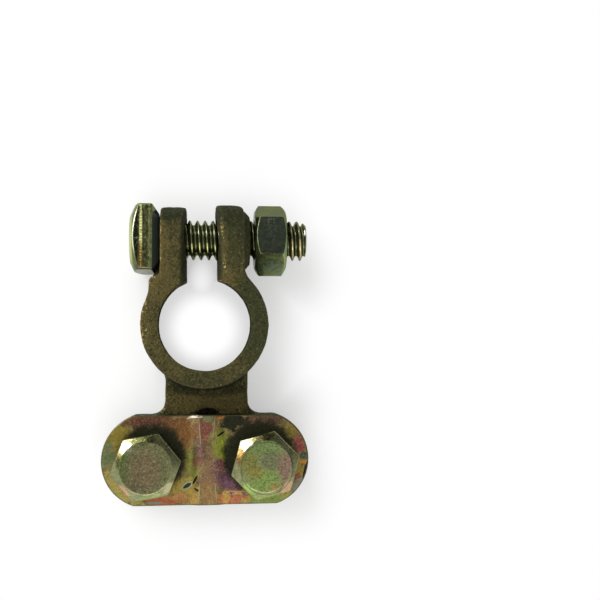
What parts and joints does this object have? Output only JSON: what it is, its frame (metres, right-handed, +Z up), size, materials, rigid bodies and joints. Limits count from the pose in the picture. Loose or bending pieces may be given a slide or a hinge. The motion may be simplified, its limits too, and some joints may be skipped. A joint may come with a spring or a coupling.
{
  "type": "battery terminal clamp",
  "caption": "Cast brass clamp for a tapered battery post: a split ring with two ears pinched by a square-headed bolt and nut, and a low saddle where a bolted steel strap holds the cable.",
  "frame": {"origin": "centre of the post bore, at the underside of the casting", "axes": "+X along the clamp bolt from its head to its nut, +Y from the cable strap to the ears, +Z up, towards the top of the post"},
  "size_m": [0.0401, 0.0587, 0.0134],
  "materials": {
    "cast_brass": "dull sand-cast brass, olive brown with bright flecks on worn edges",
    "plated_bolt": "yellow-zinc plated steel, olive green with faint iridescence",
    "plated_nut": "yellow-zinc plated steel, grey green",
    "chromated_strap": "iridescent yellow chromate on steel, in orange, red, violet and yellow-green patches"
  },
  "bodies": {
    "clamp_body": {"clamp_body": "cast_brass"},
    "clamp_bolt": {"clamp_bolt": "plated_bolt"},
    "clamp_nut": {"clamp_nut": "plated_nut"},
    "cable_strap": {"cable_strap": "chromated_strap"},
    "strap_bolt_left": {"strap_bolt_left": "plated_bolt"},
    "strap_bolt_right": {"strap_bolt_right": "plated_bolt"}
  },
  "joints": [
    {"name": "nut_turn", "type": "hinge", "parent": "clamp_body", "child": "clamp_nut", "pos_m": [0.01285, 0.0168, 0.0067], "axis": [1, 0, 0], "range_deg": [0, 2520]},
    {"name": "bolt_slide", "type": "slide", "parent": "clamp_body", "child": "clamp_bolt", "axis": [1, 0, 0], "range_m": [-0.00988, 0]},
    {"name": "strap_lift", "type": "slide", "parent": "clamp_body", "child": "cable_strap", "axis": [0, 0, 1], "range_m": [0, 0.00494]},
    {"name": "strap_bolt_left_turn", "type": "hinge", "parent": "cable_strap", "child": "strap_bolt_left", "pos_m": [-0.01107, -0.02697, 0.0081], "axis": [0, 0, 1], "range_deg": [0, 1260]},
    {"name": "strap_bolt_right_turn", "type": "hinge", "parent": "cable_strap", "child": "strap_bolt_right", "pos_m": [0.01157, -0.02697, 0.0081], "axis": [0, 0, 1], "range_deg": [0, 1260]}
  ],
  "couplings": [
    {"joint": "nut_turn", "follows": "bolt_slide", "rad_per_m": -4452.8},
    {"joint": "strap_bolt_left_turn", "follows": "strap_lift", "rad_per_m": 4452.8},
    {"joint": "strap_bolt_right_turn", "follows": "strap_lift", "rad_per_m": 4452.8}
  ]
}
